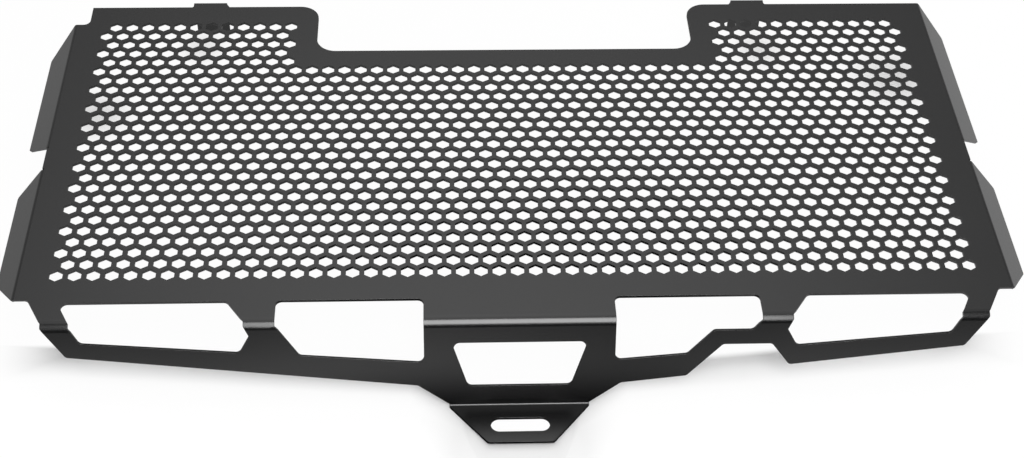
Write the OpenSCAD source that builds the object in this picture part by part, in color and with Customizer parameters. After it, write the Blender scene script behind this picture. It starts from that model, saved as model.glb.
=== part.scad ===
// Radiator guard: one laser-cut sheet of steel, folded, front face up.
// Each flat stretch is drawn in its own plane, with its front face at Z = 0.
// In the panel X runs across, Y up from the first fold and Z out of the front.
// Lengths run from the sharp line in which two front faces would meet.

/* [Sheet] */
// Colour of the powder coat
coat = "#35363a"; // [#35363a:Black, #8a8d91:Silver grey]
// Thickness of the sheet
sheet_t = 1.2; // [0.8:0.1:2]
// Inner radius of every fold
fold_r = 0.8; // [0.5:0.1:2]
// Radius of the small outer corners
corner_r = 1.5; // [0.5:0.1:2]

/* [Panel] */
// Width of the flat panel between its side folds
panel_w = 406; // [380:1:440]
// Height of the flat panel from the first fold to the top edge
panel_h = 205; // [195:1:220]
// Width of the notch in the top edge
notch_w = 177; // [150:1:190]
// Depth of the notch in the top edge
notch_d = 34; // [28:0.5:42]
// Radius of the four corners of the notch
notch_r = 9; // [4:0.5:12]
// Width of the step cut out of the top left corner
step_w = 6.5; // [4:0.5:10]
// Height of the step cut out of the top left corner
step_h = 13; // [8:0.5:16]
// Radius in the corner of the step
step_r = 3; // [1:0.5:3.5]

/* [Hole field] */
// Width across the flats of one hexagonal hole
hole_af = 5.5; // [4:0.1:6.2]
// Distance between neighbouring hole centres
hole_pitch = 7.5; // [7:0.1:9]
// Height of the lowest row of holes above the first fold
field_y = 27.5; // [24:0.1:32]
// Least distance from a side fold to a hole centre
field_side = 15; // [10:0.5:20]
// Least distance from the top edge to a hole centre
field_top = 14; // [10:0.5:20]
// Least distance from the bottom of the notch to a hole centre
notch_below = 10; // [7:0.5:15]
// Least distance from a side of the notch to a hole centre
notch_beside = 12; // [8:0.5:16]

/* [Side flanges] */
// Width of a side flange
flange_w = 16; // [10:0.5:20]
// Angle that a side flange is bent back from the panel
flange_angle = 45; // [20:1:70]
// Height of the lower end of the lower flanges
flange_low = 14.5; // [13:0.1:20]
// Height of the upper end of the lower flanges
gap_low = 91; // [80:0.1:96]
// Height of the lower end of the upper flanges
gap_high = 105.5; // [100:0.1:120]
// How far the flange's lowest corner is cut back along the fold
cut_low = 17.8; // [5:0.1:24]
// How far the corner below the gap is cut back
cut_gap_low = 6; // [1:0.1:12]
// How far the corner above the gap is cut back
cut_gap_high = 10; // [1:0.1:14]
// How far the flange's top corner is cut back
cut_top = 13.5; // [5:0.1:20]

/* [Top clips] */
// Width of a clip
clip_w = 15.6; // [10:0.1:24]
// Place of the left clip across the panel
clip_left = -141; // [-160:1:-120]
// Place of the right clip across the panel
clip_right = 119.3; // [112:0.1:160]
// Distance from the top edge to the outer face of a clip's leg
clip_reach = 4.5; // [3.8:0.1:12]
// Depth of a clip's leg behind the front face
clip_depth = 14; // [8:0.5:24]
// Radius where a clip's outer side leaves the top edge
clip_r = 1; // [0.5:0.1:1.5]
// How far a clip's inner side leans out on its way down to the top edge
clip_lean = 1.6; // [0.5:0.1:3]

/* [Lower frame] */
// Angle that the lower frame is bent back from the panel
strip_angle = 70.5; // [55:0.5:85]
// Length of the lower frame from the first fold to the second
strip_l = 39.1; // [36:0.1:50]
// Half width of the outer arms at the first fold
arm_x = 190; // [186:0.1:194]
// How far an outer arm leans out on its way up to the panel
arm_lean = 7; // [3:0.1:8]
// Half width of the lower frame at its outer knee
knee_x = 181; // [176:0.1:185]
// Distance of the outer knee below the first fold
knee_s = 14.5; // [12:0.1:16]
// Half width of the lower frame where its middle part starts
waist_x = 41.2; // [40:0.1:46]
// Distance of that place below the first fold
waist_s = 29.6; // [27:0.1:33]
// Distance below the first fold in which an outer arm stays nearly straight
arm_s = 3; // [2:0.1:5]
// Radius of the lower frame's outer corners
frame_r = 2; // [1:0.1:3]

/* [Windows] */
// Height of the windows' top edges above the first fold
window_top = 12.2; // [10:0.1:16]
// Radius of the windows' corners
window_r = 2.5; // [1:0.1:3]
// Half distance between the two inner windows
inner_x = 38.6; // [36:0.1:39]
// Outer edge of the inner windows
outer_x = 97.8; // [94:0.1:100]
// Inner edge of the outer windows at the first fold
far_x0 = 110.2; // [108:0.1:114]
// Outer edge of the outer windows at the first fold
far_x1 = 179.1; // [176:0.1:181]
// How far the outer windows' inner edges lean out going up
far_lean0 = 7.3; // [3:0.1:9]
// How far the outer windows' outer edges lean out going up
far_lean1 = 5.5; // [3:0.1:6]
// Distance of the inner windows' lower edge below the first fold
inner_s = 19.1; // [16:0.1:20]
// Distance of the outer windows' lower outer corner below the first fold
far_s = 8.5; // [6:0.1:9]
// Distance of the outer windows' inner tip below the first fold
tip_s = 6; // [5:0.1:7]
// How far the outer windows' outer edges run in below the first fold
far_in = 4; // [2:0.1:6]
// How much lower the outer windows' inner corners lie than the outer ones
far_drop = 5; // [3:0.1:6]
// How far the outer windows' inner edges bulge at the tip
far_tip = 2.1; // [1:0.1:3]
// How far the left inner window's outer edge runs in below the first fold
inner_in = 9.4; // [5:0.1:14]
// How much higher that window's outer corner lies than its inner one
inner_rise = 4; // [2:0.1:6]
// Half width of the middle window at its top
mid_top_x = 27.6; // [24:0.1:29]
// Half width of the middle window at its bottom
mid_low_x = 21; // [16:0.1:22]
// Distance of the middle window's top edge below the first fold
mid_top_s = 10.2; // [8:0.1:12]
// Distance of the middle window's bottom edge below the first fold
mid_low_s = 30.2; // [25:0.1:31]

/* [Step in the lower frame] */
// Outer end of the step on the right
jog_x0 = 109.6; // [108:0.1:112]
// How far the step's outer end leans in going up
jog_lean = 7.5; // [5:0.1:9]
// Inner end of the step on the right
jog_x1 = 67.9; // [64:0.1:72]
// Distance of the step's lower edge below the first fold
jog_s = 12.4; // [11:0.1:13]
// Width of the bar along the step
jog_bar = 6.4; // [5:0.1:7]
// How far the right inner window's outer edge runs in above the step
jog_in = 3.8; // [2:0.1:6]
// Width of that window's slanted edge beside the step
jog_knee = 10.3; // [8:0.1:13]
// How much higher the foot of the slanted edge lies than the inner corner
jog_rise = 2.4; // [1:0.1:4]

/* [Bottom tab] */
// Half width of the tab at the second fold
tab_x0 = 28.5; // [24:0.1:31]
// Half width of the tab at its front edge
tab_x1 = 13.3; // [13:0.1:18]
// Length of the tab from the second fold
tab_l = 19.3; // [17.5:0.1:24]
// Radius of the tab's front corners
tab_r = 2; // [1:0.1:4]
// Length of the fixing slot
slot_l = 24; // [12:0.5:26]
// Width of the fixing slot
slot_w = 7; // [5.5:0.1:8.5]
// Distance from the second fold to the middle of the slot
slot_y = 10.5; // [9:0.1:12]

/* [Hidden] */
arc_n = 10;
relief = 0.8;
// how far the sheet swells at each end of a fold
bulge = 0.02;
outer_r = fold_r + sheet_t;
// setbacks of the flat stretches from the sharp fold lines
strip_back = outer_r * tan(strip_angle / 2);
tab_back = fold_r * tan(strip_angle / 2);
flange_back = outer_r * tan(flange_angle / 2);
side_x = panel_w / 2;
fold_x = side_x - flange_back;
notch_x = notch_w / 2;
notch_y = panel_h - notch_d;
step_x = side_x - step_w;
step_y = panel_h - step_h;
clip_y = panel_h + clip_reach - outer_r;
row_h = hole_pitch * sin(60);
last_row = floor((panel_h - field_top - field_y) / row_h);
// the sheet is one piece, but each node holds only about half of the holes
seam_row = floor(((gap_low + gap_high) / 2 - field_y) / row_h);
seam_y = field_y + (seam_row + 0.5) * row_h;
half_steps = floor((side_x - field_side) / (hole_pitch / 2));
frame_slope = (waist_s - knee_s) / (knee_x - waist_x);
// the sheet as a whole
back_y = panel_h + clip_reach;
front_y = -strip_l * cos(strip_angle) - tab_l;
floor_z = -strip_l * sin(strip_angle) - sheet_t;

function unit(v) = v / norm(v);
function xy(p) = [p[0], p[1]];
function frame_s(x) = waist_s - (x - waist_x) * frame_slope;

// corner b between a and c, rounded to radius r
function corner(a, b, c, r) =
    let (u = unit(a - b), v = unit(c - b), h = acos(u * v) / 2,
         m = b + unit(u + v) * r / sin(h),
         p = b + u * r / tan(h) - m,
         q = b + v * r / tan(h) - m,
         way = p[0] * q[1] - p[1] * q[0] > 0 ? 1 : -1,
         from = atan2(p[1], p[0]))
    [for (i = [0:arc_n])
        let (w = from + way * i * (180 - 2 * h) / arc_n)
        m + r * [cos(w), sin(w)]];

// outline through [x, y, corner radius] points
module outline(pts) {
    n = len(pts);
    polygon([for (i = [0:n - 1])
        let (p = pts[i], a = pts[(i + n - 1) % n], c = pts[(i + 1) % n])
        each p[2] > 0 ? corner(xy(a), xy(p), xy(c), p[2]) : [xy(p)]]);
}

function mirrored(pts) = [for (i = [len(pts) - 1:-1:0]) [-pts[i][0], pts[i][1], pts[i][2]]];

// a flat stretch of sheet with its front face at z = 0
module plate() translate([0, 0, -sheet_t]) linear_extrude(sheet_t) children();

// the round part of a fold from x0 to x1: the sheet comes from +Y and leaves
// towards -Y, bent back by angle, and the round part starts at y = 0
module fold_back(x0, x1, angle)
    translate([x0 - bulge, 0, -outer_r]) rotate([180, -90, 0])
        arc_of_sheet(x1 - x0 + 2 * bulge, angle);
module fold_front(x0, x1, angle)
    translate([x1 + bulge, 0, fold_r]) rotate([180, 90, 0])
        arc_of_sheet(x1 - x0 + 2 * bulge, angle);
module arc_of_sheet(l, angle)
    rotate_extrude(angle = angle, $fn = 96) translate([fold_r, 0]) square([sheet_t, l]);

// the plane past a fold, in which the flat sheet goes on from y = 0
module past_back(angle)
    translate([0, 0, -outer_r]) rotate([angle, 0, 0]) translate([0, 0, outer_r]) children();
module past_front(angle)
    translate([0, 0, fold_r]) rotate([-angle, 0, 0]) translate([0, 0, -fold_r]) children();

module both_sides() for (side = [0, 1]) mirror([side, 0, 0]) children();

module holes(first, last) for (j = [first:last], i = [-half_steps:half_steps]) {
    x = i * hole_pitch / 2;
    y = field_y + j * row_h;
    wanted = abs(i + half_steps + half_steps % 2 + j) % 2 == 0;
    clear = y < notch_y - notch_below || abs(x) > notch_x + notch_beside;
    if (wanted && clear) translate([x, y]) rotate(30) circle(hole_af / sqrt(3), $fn = 6);
}

// the two sides of a clip where it leaves the top edge
function clip_edge(x) = [
    [x + clip_w / 2, panel_h, clip_r],
    [x + clip_w / 2, clip_y, 0],
    [x - clip_w / 2, clip_y, 0],
    [x - clip_w / 2 - clip_lean, panel_h, 0]];

// the free stretch of edge above the seam, from which an upper flange starts
seam_edge = [
    [side_x, seam_y, 0],
    [side_x, gap_high - relief, 0],
    [fold_x, gap_high - relief, 0]];
notch_edge = [[notch_x, panel_h, notch_r], [notch_x, notch_y, notch_r]];

module upper_shape() outline(concat(
    seam_edge,
    [[fold_x, panel_h, 0]],
    clip_edge(clip_right),
    notch_edge,
    mirrored(concat(
        seam_edge,
        [[fold_x, step_y, 0], [step_x, step_y, step_r], [step_x, panel_h, 0]],
        clip_edge(-clip_left),
        notch_edge))));

// an edge from the first fold up to the seam, between the side flanges
lower_edge = [
    [arm_x, strip_back, 0],
    [arm_x + arm_lean, flange_low, frame_r],
    [fold_x, flange_low, 0],
    [fold_x, gap_low + relief, 0],
    [side_x, gap_low + relief, 0],
    [side_x, seam_y, 0]];

module lower_shape() outline(concat(lower_edge, mirrored(lower_edge)));

// windows above the first fold
module upper_windows() both_sides() {
    outline([
        [inner_x, 0, 0], [outer_x, 0, 0],
        [outer_x, window_top, window_r], [inner_x, window_top, window_r]]);
    outline([
        [far_x0, 0, 0], [far_x0, strip_back, 0],
        [far_x0 + far_lean0, window_top, window_r],
        [far_x1 + far_lean1, window_top, window_r],
        [far_x1, strip_back, 0], [far_x1, 0, 0]]);
}

// ends of the bars that cross the first fold
fold_bars = [
    [-arm_x, -far_x1], [-far_x0, -outer_x], [-inner_x, inner_x],
    [outer_x, far_x0], [far_x1, arm_x]];

// outer edge of the lower frame, from the first fold to the second
frame_left = [
    [arm_x, -strip_back, 0], [arm_x - 1, -arm_s, 0],
    [knee_x, -knee_s, frame_r], [waist_x, -waist_s, frame_r],
    [tab_x0, tab_back - strip_l, 0]];
frame_right = [
    [arm_x, -strip_back, 0], [arm_x - 1, -arm_s, 0],
    [knee_x, -knee_s, frame_r],
    [jog_x0, -frame_s(jog_x0), frame_r],
    [jog_x0 - jog_lean, -jog_s, frame_r],
    [jog_x1 + frame_s(jog_x1) - jog_s, -jog_s, frame_r],
    [jog_x1, -frame_s(jog_x1), frame_r],
    [waist_x, -waist_s, frame_r],
    [tab_x0, tab_back - strip_l, 0]];

module outer_window() outline([
    [far_x1, 0, 0], [far_x1, -strip_back, 0],
    [far_x1 - far_in, -far_s, window_r],
    [far_x0 + far_tip, -far_s - far_drop, window_r],
    [far_x0 - far_tip, -tip_s, 0],
    [far_x0, -strip_back, 0], [far_x0, 0, 0]]);

module left_window() outline([
    [-outer_x, 0, 0], [-outer_x, -strip_back, 0],
    [-outer_x + inner_in, inner_rise - inner_s, window_r],
    [-inner_x, -inner_s, window_r], [-inner_x, 0, 0]]);

module right_window() outline([
    [outer_x, 0, 0], [outer_x, -strip_back, 0],
    [outer_x - jog_in, jog_bar - jog_s, window_r],
    [jog_x1 + jog_knee, jog_bar - jog_s, window_r],
    [jog_x1, jog_rise - inner_s, window_r],
    [inner_x, -inner_s, window_r], [inner_x, 0, 0]]);

module middle_window() outline([
    [mid_top_x, -mid_top_s, window_r], [-mid_top_x, -mid_top_s, window_r],
    [-mid_low_x, -mid_low_s, window_r], [mid_low_x, -mid_low_s, window_r]]);

// drawn from the first sharp fold line down
module strip() difference() {
    outline(concat(frame_right, mirrored(frame_left)));
    both_sides() outer_window();
    left_window();
    right_window();
    middle_window();
}

module slot() {
    reach = (slot_l - slot_w) / 2;
    translate([-reach, -slot_w / 2]) square([2 * reach, slot_w]);
    for (x = [-reach, reach]) translate([x, 0]) circle(slot_w / 2, $fn = 64);
}

// drawn from the second sharp fold line down
module tab() difference() {
    outline([
        [tab_x0, -tab_back, 0], [-tab_x0, -tab_back, 0],
        [-tab_x1, -tab_l, tab_r], [tab_x1, -tab_l, tab_r]]);
    translate([0, -slot_y]) slot();
}

// a flange on the right from y0 to y1, its corners cut back by c0 and c1
module side_flange(y0, y1, c0, c1)
    translate([fold_x, 0, 0]) rotate([0, 0, 90]) {
        fold_back(y0, y1, flange_angle);
        past_back(flange_angle) translate([0, flange_back, 0]) plate() outline([
            [y0, -flange_back, 0], [y0 + c0, -flange_w, corner_r],
            [y1 - c1, -flange_w, corner_r], [y1, -flange_back, 0]]);
    }

// the round part and the leg of a clip
module clip(x) translate([x, clip_y, 0]) rotate([0, 0, 180]) {
    fold_back(-clip_w / 2, clip_w / 2, 90);
    past_back(90) plate() translate([-clip_w / 2, outer_r - clip_depth])
        square([clip_w, clip_depth - outer_r]);
}

module in_place() color(coat) translate([0, -(back_y + front_y) / 2, -floor_z]) children();

module upper_panel() in_place() {
    plate() difference() {
        upper_shape();
        holes(seam_row + 1, last_row);
    }
    for (x = [clip_left, clip_right]) clip(x);
    side_flange(gap_high, panel_h, cut_gap_high, cut_top);
    mirror([1, 0, 0]) side_flange(gap_high, step_y, cut_gap_high, cut_top);
}

module lower_panel() in_place() {
    plate() difference() {
        lower_shape();
        upper_windows();
        holes(0, seam_row);
    }
    both_sides() side_flange(flange_low, gap_low, cut_low, cut_gap_low);
}

module lower_frame() in_place() translate([0, strip_back, 0]) {
    for (bar = fold_bars) fold_back(bar[0], bar[1], strip_angle);
    past_back(strip_angle) translate([0, strip_back, 0]) {
        plate() strip();
        translate([0, tab_back - strip_l, 0]) {
            fold_front(-tab_x0, tab_x0, strip_angle);
            past_front(strip_angle) translate([0, tab_back, 0]) plate() tab();
        }
    }
}

upper_panel();
lower_panel();
lower_frame();
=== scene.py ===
"""Studio scene for a folded, perforated radiator guard in black powder coat."""
import math

import bmesh
import bpy
from mathutils import Matrix, Vector

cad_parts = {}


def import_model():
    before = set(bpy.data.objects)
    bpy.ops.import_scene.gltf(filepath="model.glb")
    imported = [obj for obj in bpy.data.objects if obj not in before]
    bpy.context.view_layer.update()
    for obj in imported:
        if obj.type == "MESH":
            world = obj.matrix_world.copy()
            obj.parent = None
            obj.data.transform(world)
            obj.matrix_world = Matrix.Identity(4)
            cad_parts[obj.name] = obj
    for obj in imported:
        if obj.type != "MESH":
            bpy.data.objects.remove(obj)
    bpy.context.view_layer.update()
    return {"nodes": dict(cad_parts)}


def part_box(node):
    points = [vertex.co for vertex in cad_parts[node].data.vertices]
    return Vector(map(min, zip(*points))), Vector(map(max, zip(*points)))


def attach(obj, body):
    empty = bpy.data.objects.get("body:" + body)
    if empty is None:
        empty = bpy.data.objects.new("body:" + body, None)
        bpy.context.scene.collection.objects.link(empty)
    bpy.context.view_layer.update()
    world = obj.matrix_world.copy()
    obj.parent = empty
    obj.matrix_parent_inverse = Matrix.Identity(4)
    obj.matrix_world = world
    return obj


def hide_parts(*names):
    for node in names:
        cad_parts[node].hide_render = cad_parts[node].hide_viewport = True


MM = 0.001
NODES = ("upper_panel", "lower_panel", "lower_frame")

# The folds' angles and outer radius are the source's
FOLD_ANGLE = math.radians(70.5)
FLANGE_ANGLE = math.radians(45)
CUT_R = 2.0 * MM
# The finished sheet shows a softer first fold and longer clip legs than the source
SOFT_R = 4.6 * MM
FOLD_CUTS = 4
LEG_MORE = 3.5 * MM
# What lies this near the first fold in Y and Z, and no deeper under the front face, can belong to the bend
FOLD_REACH = 8 * MM
FOLD_DROP = 12 * MM
SHEET_REACH = 1.5 * MM
# The ends of the clip legs lie this near the guard's back edge and this near its lowest points
LEG_REACH = 2 * MM
LEG_END = 0.1 * MM
# Points and planes closer than this are the same
HAIR = 1e-7
NEAR = 1e-6
MEETING = 2e-6
# Normals: along an axis, at the flanges' angle, across the seams and the same way
ALONG_AXIS = 0.01
AT_ANGLE = 0.001
ACROSS_SEAM = 0.999
SAME_WAY = 0.9999
SHARP_FROM = math.radians(28)


# Node tools
def new_material(name):
    material = bpy.data.materials.new(name)
    material.use_nodes = True
    material.node_tree.nodes.clear()
    return material, material.node_tree


def add(tree, kind, **settings):
    node = tree.nodes.new(kind)
    for key, value in settings.items():
        setattr(node, key, value)
    return node


def link(tree, source, target):
    tree.links.new(source, target)


def ramp(tree, source, low, high, to_low, to_high, kind="LINEAR"):
    """A clamped change from to_low to to_high while the source goes from low to high."""
    node = add(tree, "ShaderNodeMapRange", interpolation_type=kind)
    for socket, value in zip(("From Min", "From Max", "To Min", "To Max"), (low, high, to_low, to_high)):
        node.inputs[socket].default_value = value
    link(tree, source, node.inputs["Value"])
    return node.outputs["Result"]


def maths(tree, operation, *sources):
    node = add(tree, "ShaderNodeMath", operation=operation)
    for socket, source in zip(node.inputs, sources):
        if isinstance(source, (int, float)):
            socket.default_value = source
        else:
            link(tree, source, socket)
    return node.outputs["Value"]


def distance_from(tree, place, point):
    node = add(tree, "ShaderNodeVectorMath", operation="DISTANCE")
    node.inputs[1].default_value = point
    link(tree, place, node.inputs[0])
    return node.outputs["Value"]


def mix_shaders(tree, share, first, second):
    node = add(tree, "ShaderNodeMixShader")
    link(tree, share, node.inputs["Fac"])
    link(tree, first, node.inputs[1])
    link(tree, second, node.inputs[2])
    return node.outputs["Shader"]


# The coat
PEEL_SCALE, PEEL_DETAIL = 1400, 2
PEEL_STRENGTH, PEEL_HEIGHT = 0.25, 0.02 * MM
CLOUD_SCALE, CLOUD_DETAIL = 60, 3
ARRIS_R = 0.25 * MM
COAT_DARK = (0.002, 0.002, 0.0022, 1)
COAT_LIGHT = (0.0035, 0.0035, 0.0037, 1)
COAT_ROUGH = (0.22, 0.28)
COAT_IOR = 1.7


def noise(tree, place, scale, detail):
    node = add(tree, "ShaderNodeTexNoise")
    node.inputs["Scale"].default_value = scale
    node.inputs["Detail"].default_value = detail
    link(tree, place, node.inputs["Vector"])
    return node.outputs["Fac"]


def powder_coat():
    """Satin black powder coat: a fine peel in the surface, faint clouds in its black and softened arrises."""
    material, tree = new_material("powder_coat")
    place = add(tree, "ShaderNodeTexCoord").outputs["Object"]
    peel = noise(tree, place, PEEL_SCALE, PEEL_DETAIL)
    cloud = noise(tree, place, CLOUD_SCALE, CLOUD_DETAIL)
    arris = add(tree, "ShaderNodeBevel", samples=6)
    arris.inputs["Radius"].default_value = ARRIS_R
    bump = add(tree, "ShaderNodeBump")
    bump.inputs["Strength"].default_value = PEEL_STRENGTH
    bump.inputs["Distance"].default_value = PEEL_HEIGHT
    link(tree, peel, bump.inputs["Height"])
    link(tree, arris.outputs["Normal"], bump.inputs["Normal"])
    tone = add(tree, "ShaderNodeMix", data_type="RGBA")
    tone.inputs["A"].default_value = COAT_DARK
    tone.inputs["B"].default_value = COAT_LIGHT
    link(tree, cloud, tone.inputs["Factor"])
    coat = add(tree, "ShaderNodeBsdfPrincipled")
    coat.inputs["IOR"].default_value = COAT_IOR
    link(tree, tone.outputs["Result"], coat.inputs["Base Color"])
    link(tree, ramp(tree, peel, 0.0, 1.0, *COAT_ROUGH), coat.inputs["Roughness"])
    link(tree, bump.outputs["Normal"], coat.inputs["Normal"])
    out = add(tree, "ShaderNodeOutputMaterial")
    link(tree, coat.outputs["BSDF"], out.inputs["Surface"])
    return material


# The floor's white. Places on it are measured from the spot where the middle of the second fold rests
TAB_SPOT = (0, -20 * MM, 0)
FULLY_LIT = 0.97
# The shadow line starts under the tab and runs back over three stretches: from, to and how far
SHADOW_START = -15.1 * MM
SHADOW_STRETCHES = ((14 * MM, 24 * MM, 23 * MM), (24 * MM, 45 * MM, 13 * MM), (45 * MM, 185 * MM, 13 * MM))
# Painted shadow patches under the two clips and near the two upper flanges, where the glow is taken away:
# across, back, radius and grey
PAINTED_SHADOW_PATCHES = ((-146 * MM, 212 * MM, 16 * MM, 0.3), (126 * MM, 208 * MM, 18 * MM, 0.42),
           (186 * MM, 188 * MM, 28 * MM, 0.5), (-190 * MM, 168 * MM, 22 * MM, 0.4))
# The floor's painted glow and painted shade change over these stretches: where each begins and ends, and its
# two values
LIT_IN_FRONT = (-15 * MM, -4 * MM, 0.85, 0.05)
LIT_BY_TAB = (28 * MM, 50 * MM, 0.2, 1.0)
LIT_BEHIND = (-2 * MM, 2 * MM, 0.0, FULLY_LIT, "SMOOTHSTEP")
LIT_PAST_ENDS = (180 * MM, 220 * MM, 0.0, FULLY_LIT, "SMOOTHSTEP")
MATT_TO_RIGHT = (0.0, 120 * MM, 0.68, 0.86)
MATT_IN_FRONT = (-18 * MM, -4 * MM, 0.95, 0.6)
MATT_AT_TAB = (20 * MM, 35 * MM, 0.9, 0.6)
MATT_BY_TAB = (26 * MM, 45 * MM, 0.82, 1.0)
# Painted reflection: the floor's glow seen only in the coat, brightest a little to the left of the middle
SHEEN_X = -35 * MM
SHEEN_BESIDE = (20 * MM, 100 * MM, 1.75, 0.9)
SHEEN_FAR_FRONT = (-380 * MM, -200 * MM, 0.0, 1.0)
SHEEN_BACK = (-150 * MM, 150 * MM, 0.44, 0.6)
SHEEN_BY_TAB = (60 * MM, 140 * MM, 0.0, 1.0, "SMOOTHSTEP")
FRONT_TO_BACK = (-20 * MM, 50 * MM, 0.0, 1.0)


def shadow_line(tree, across):
    """Where the floor behind the guard turns white: along the tab, then the lower frame's two slopes."""
    line = SHADOW_START
    for near, far, back in SHADOW_STRETCHES:
        line = maths(tree, "ADD", ramp(tree, across, near, far, 0.0, back), line)
    return line


def painted_glow(tree, place, across, behind, tab):
    """Painted glow: how far the floor shines by itself, everywhere but in the guard's shadow, less by the tab
    and in the painted shadow patches.
    """
    before = maths(tree, "MULTIPLY", ramp(tree, behind, *LIT_IN_FRONT), ramp(tree, tab, *LIT_BY_TAB))
    lit = maths(tree, "MAXIMUM", ramp(tree, behind, *LIT_BEHIND), before)
    lit = maths(tree, "MAXIMUM", lit, ramp(tree, across, *LIT_PAST_ENDS))
    # Painted shadow: the glow is taken away round each patch, so the floor's shade shows there
    for x, y, radius, grey in PAINTED_SHADOW_PATCHES:
        away = distance_from(tree, place, (x, y, 0))
        lit = maths(tree, "SUBTRACT", lit, ramp(tree, away, 0.0, radius, grey, 0.0, "SMOOTHSTEP"))
    return lit


def matt_white_and_painted_shade(tree, x, behind, tab):
    """The white of the matt part, with painted shade along the guard's shadow: lighter in front of the shadow
    line, to the right and close to the tab.
    """
    white = maths(tree, "MAXIMUM", ramp(tree, x, *MATT_TO_RIGHT), ramp(tree, behind, *MATT_IN_FRONT))
    white = maths(tree, "MAXIMUM", white, ramp(tree, tab, *MATT_AT_TAB))
    return maths(tree, "MULTIPLY", white, ramp(tree, tab, *MATT_BY_TAB))


def painted_floor_reflection(tree, x, y, tab):
    """Painted reflection: how bright the floor glows in the coat alone, bright in front of the guard, dim
    behind it, dark by the tab.
    """
    beside = maths(tree, "ABSOLUTE", maths(tree, "SUBTRACT", x, SHEEN_X))
    front = maths(tree, "MULTIPLY", ramp(tree, beside, *SHEEN_BESIDE), ramp(tree, y, *SHEEN_FAR_FRONT))
    back = ramp(tree, x, *SHEEN_BACK)
    way_back = ramp(tree, y, *FRONT_TO_BACK)
    strength = maths(tree, "MULTIPLY_ADD", maths(tree, "SUBTRACT", back, front), way_back, front)
    return maths(tree, "MULTIPLY", strength, ramp(tree, tab, *SHEEN_BY_TAB))


def floor_white():
    """White floor: a painted glow hides the shade under the guard, and it turns matt along the guard's lower
    edge, where its shadow falls, partly real and partly painted; the coat mirrors a painted reflection of it.
    """
    material, tree = new_material("floor_white")
    place = add(tree, "ShaderNodeTexCoord").outputs["Object"]
    split = add(tree, "ShaderNodeSeparateXYZ")
    link(tree, place, split.inputs["Vector"])
    x, y = split.outputs["X"], split.outputs["Y"]
    across = maths(tree, "ABSOLUTE", x)
    behind = maths(tree, "SUBTRACT", y, shadow_line(tree, across))
    tab = distance_from(tree, place, TAB_SPOT)
    matt = add(tree, "ShaderNodeBsdfDiffuse")
    # The matt white carries painted shade; the key light's real shadow falls on it as well
    link(tree, matt_white_and_painted_shade(tree, x, behind, tab), matt.inputs["Color"])
    glow = add(tree, "ShaderNodeEmission")
    seen = mix_shaders(tree, painted_glow(tree, place, across, behind, tab),
                       matt.outputs["BSDF"], glow.outputs["Emission"])
    # Painted reflection: this glow reaches only glossy rays, so it shows in the coat and lights nothing
    painted_sheen = add(tree, "ShaderNodeEmission")
    link(tree, painted_floor_reflection(tree, x, y, tab), painted_sheen.inputs["Strength"])
    ray = add(tree, "ShaderNodeLightPath")
    out = add(tree, "ShaderNodeOutputMaterial")
    link(tree, mix_shaders(tree, ray.outputs["Is Glossy Ray"], seen, painted_sheen.outputs["Emission"]),
         out.inputs["Surface"])
    return material


# The sheet
def rebend(bm, fold_y, top):
    """The first fold, opened from the sharp press radius to the softer one that the finished sheet shows."""
    half = math.tan(FOLD_ANGLE / 2)
    old_back, new_back = CUT_R * half, SOFT_R * half
    spare = new_back - old_back
    along = Vector((0, -math.cos(FOLD_ANGLE), -math.sin(FOLD_ANGLE)))
    out = Vector((0, -math.sin(FOLD_ANGLE), math.cos(FOLD_ANGLE)))
    old_centre = Vector((0, fold_y + old_back, top - CUT_R))
    new_centre = Vector((0, fold_y + new_back, top - SOFT_R))
    leaves = old_centre + out * CUT_R
    for i in range(1, FOLD_CUTS + 1):
        step = spare * i / FOLD_CUTS
        bmesh.ops.bisect_plane(bm, geom=bm.verts[:] + bm.edges[:] + bm.faces[:], dist=HAIR,
                               plane_co=(0, fold_y + old_back + step, 0), plane_no=(0, 1, 0))
        before = [f for f in bm.faces if all(v.co.y < fold_y + old_back + NEAR for v in f.verts)]
        edges = list({e for f in before for e in f.edges})
        verts = list({v for f in before for v in f.verts})
        bmesh.ops.bisect_plane(bm, geom=verts + edges + before, dist=HAIR,
                               plane_co=leaves + along * step, plane_no=along)
    arc = CUT_R * FOLD_ANGLE
    for v in bm.verts:
        if v.co.z < top - FOLD_DROP or abs(v.co.y - fold_y) > FOLD_REACH:
            continue
        spoke = v.co - old_centre
        angle = math.atan2(-spoke.y, spoke.z)
        if angle <= 0:
            way, depth = fold_y + old_back - v.co.y, top - v.co.z
        elif angle < FOLD_ANGLE:
            way, depth = angle * CUT_R, CUT_R - math.hypot(spoke.y, spoke.z)
        else:
            rest = v.co - leaves
            way, depth = arc + rest.yz.dot(along.yz), -rest.yz.dot(out.yz)
        if -spare < way < arc + spare and depth < SHEET_REACH:
            turn = (way + spare) / (arc + 2 * spare) * FOLD_ANGLE
            v.co.y = new_centre.y - (SOFT_R - depth) * math.sin(turn)
            v.co.z = new_centre.z + (SOFT_R - depth) * math.cos(turn)


def in_a_fold(normal):
    """Whether a face with this normal is part of a round bend: the flat stretches and cut edges stay flat."""
    about_x, about_y = abs(normal.x) < ALONG_AXIS, abs(normal.y) < ALONG_AXIS
    if about_x == about_y or abs(normal.z) < ALONG_AXIS:
        return False
    if about_y:
        return abs(abs(normal.x) - math.sin(FLANGE_ANGLE)) > AT_ANGLE
    strip = Vector((0, -math.sin(FOLD_ANGLE), math.cos(FOLD_ANGLE)))
    across = Vector((0, strip.z, -strip.y))
    return abs(normal.dot(strip)) < SAME_WAY and abs(normal.dot(across)) < SAME_WAY


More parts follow.
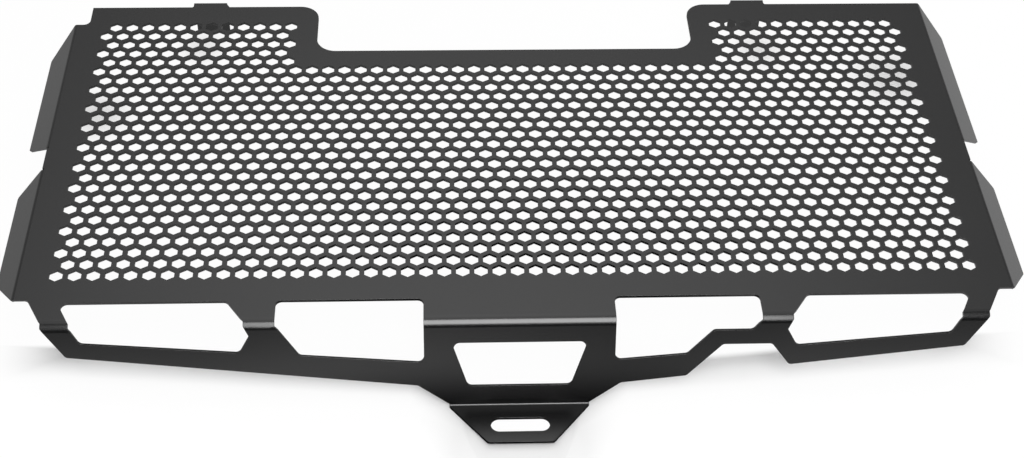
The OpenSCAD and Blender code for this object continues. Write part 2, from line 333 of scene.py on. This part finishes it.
def whole_sheet(nodes, material):
    """The three nodes joined as the one sheet they are, with the softer first fold and the full clip legs."""
    bm = bmesh.new()
    for name in NODES:
        bm.from_mesh(nodes[name].data)
    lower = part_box("lower_panel")
    seams = (lower[1].y, lower[0].y)
    inside = [f for f in bm.faces if abs(f.normal.y) > ACROSS_SEAM and any(
        all(abs(v.co.y - y) < MEETING for v in f.verts) for y in seams)]
    bmesh.ops.delete(bm, geom=inside, context="FACES")
    bmesh.ops.remove_doubles(bm, verts=bm.verts, dist=MEETING)
    bmesh.ops.dissolve_degenerate(bm, edges=bm.edges, dist=NEAR)
    foot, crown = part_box("upper_panel")
    for v in bm.verts:
        if v.co.y > crown.y - LEG_REACH and v.co.z < foot.z + LEG_END:
            v.co.z -= LEG_MORE
    rebend(bm, lower[0].y - CUT_R * math.tan(FOLD_ANGLE / 2), crown.z)
    mesh = bpy.data.meshes.new("sheet")
    bm.to_mesh(mesh)
    bm.free()
    mesh.set_sharp_from_angle(angle=SHARP_FROM)
    for face in mesh.polygons:
        face.use_smooth = in_a_fold(face.normal)
    sheet = bpy.data.objects.new("sheet", mesh)
    bpy.context.scene.collection.objects.link(sheet)
    mesh.materials.append(material)
    return sheet


# The studio
CAMERA_PLACE = Vector((-0.03114, -0.54192, 0.53951))
CAMERA_LOOK = Vector((0.04177, 0.70878, -0.70419))
CAMERA_UP = Vector((0.01123, 0.70443, 0.70968))
PICTURE_PX = 1024
FOCAL_PX = 1695.1
SENSOR_MM = 36
KEY_PLACE = Vector((0.05, -0.99, 1.12))
KEY_AIM = Vector((0, 0, 0.03))
KEY_SIZE = (0.7, 1.2)
KEY_WATTS = 18.5
KEY_ON_MATT = 0.4
FLOOR_HALF = 6
# The second fold rests on the floor this far behind the tab's front edge
FOLD_BACK = 18 * MM
# The room's light and the backdrop in the coat grow from the studio's front to its back
ROOM = (-0.5, 0.8, 0.05, 1.7)
BACKDROP = (-0.1, 0.35, 0.01, 0.31, "SMOOTHSTEP")
# Soft patches of the studio that the coat mirrors: direction, cosine where each begins, and strength
GLOWS =(((0.01, 0.57, 0.82), 0.93, 0.85), ((0.0, 0.1, 0.99), 0.92, 0.9))


def camera():
    data = bpy.data.cameras.new("camera")
    data.sensor_width = SENSOR_MM
    data.lens = FOCAL_PX * SENSOR_MM / PICTURE_PX
    data.clip_start, data.clip_end = 0.01, 50
    cam = bpy.data.objects.new("camera", data)
    z = -CAMERA_LOOK.normalized()
    x = CAMERA_UP.cross(z).normalized()
    y = z.cross(x)
    turn = Matrix((x, y, z)).transposed().to_4x4()
    cam.matrix_world = Matrix.Translation(CAMERA_PLACE) @ turn
    bpy.context.scene.collection.objects.link(cam)
    bpy.context.scene.camera = cam


def softbox():
    """The key light, high in front of the guard."""
    data = bpy.data.lights.new("key_softbox", "AREA")
    data.shape = "RECTANGLE"
    data.size, data.size_y = KEY_SIZE
    data.energy = KEY_WATTS
    data.diffuse_factor = KEY_ON_MATT
    lamp = bpy.data.objects.new("key_softbox", data)
    lamp.location = KEY_PLACE
    lamp.rotation_euler = (KEY_AIM - KEY_PLACE).to_track_quat("-Z", "Y").to_euler()
    bpy.context.scene.collection.objects.link(lamp)


def floor(heel, toe):
    """A floor under the second fold and the ends of the two legs, which is how the guard lies."""
    tilt = math.atan2(toe.z - heel.z, toe.y - heel.y)
    bm = bmesh.new()
    bmesh.ops.create_grid(bm, x_segments=1, y_segments=1, size=FLOOR_HALF)
    mesh = bpy.data.meshes.new("floor")
    bm.to_mesh(mesh)
    bm.free()
    plane = bpy.data.objects.new("floor", mesh)
    plane.matrix_world = Matrix.Translation(heel) @ Matrix.Rotation(tilt, 4, "X")
    bpy.context.scene.collection.objects.link(plane)
    mesh.materials.append(floor_white())


def glow_towards(tree, heading, direction, begins, strength):
    """A soft patch of the studio around one direction."""
    facing = add(tree, "ShaderNodeVectorMath", operation="DOT_PRODUCT")
    facing.inputs[1].default_value = Vector(direction).normalized()
    link(tree, heading, facing.inputs[0])
    return ramp(tree, facing.outputs["Value"], begins, 1.0, 0.0, strength, "SMOOTHSTEP")


def background(tree):
    node = add(tree, "ShaderNodeBackground")
    node.inputs["Color"].default_value = (1, 1, 1, 1)
    return node


def world():
    """White backdrop behind and beside the guard, and the dark end of the studio in front of it."""
    made = bpy.data.worlds.new("studio")
    made.use_nodes = True
    tree = made.node_tree
    tree.nodes.clear()
    heading = add(tree, "ShaderNodeTexCoord").outputs["Generated"]
    split = add(tree, "ShaderNodeSeparateXYZ")
    link(tree, heading, split.inputs["Vector"])
    room, reflection, white = background(tree), background(tree), background(tree)
    link(tree, ramp(tree, split.outputs["Y"], *ROOM), room.inputs["Strength"])
    mirrored = ramp(tree, split.outputs["Y"], *BACKDROP)
    for direction, begins, strength in GLOWS:
        mirrored = maths(tree, "ADD", mirrored, glow_towards(tree, heading, direction, begins, strength))
    link(tree, mirrored, reflection.inputs["Strength"])
    ray = add(tree, "ShaderNodeLightPath")
    seen_in_coat = maths(tree, "MAXIMUM", ray.outputs["Is Glossy Ray"], ray.outputs["Is Transmission Ray"])
    indirect = mix_shaders(tree, seen_in_coat, room.outputs["Background"], reflection.outputs["Background"])
    out = add(tree, "ShaderNodeOutputWorld")
    link(tree, mix_shaders(tree, ray.outputs["Is Camera Ray"], indirect, white.outputs["Background"]),
         out.inputs["Surface"])
    bpy.context.scene.world = made


# Build
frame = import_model()

coat = powder_coat()
for name in NODES:
    data = frame["nodes"][name].data
    data.materials.clear()
    data.materials.append(coat)
sheet = whole_sheet(frame["nodes"], coat)
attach(sheet, "root")
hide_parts(*NODES)

heel = Vector((0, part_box("lower_frame")[0].y + FOLD_BACK, 0))
toe_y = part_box("upper_panel")[1].y
toe_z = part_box("upper_panel")[0].z - LEG_MORE
floor(heel, Vector((0, toe_y, toe_z)))
world()
softbox()
camera()

bpy.context.scene.view_settings.view_transform = "Standard"
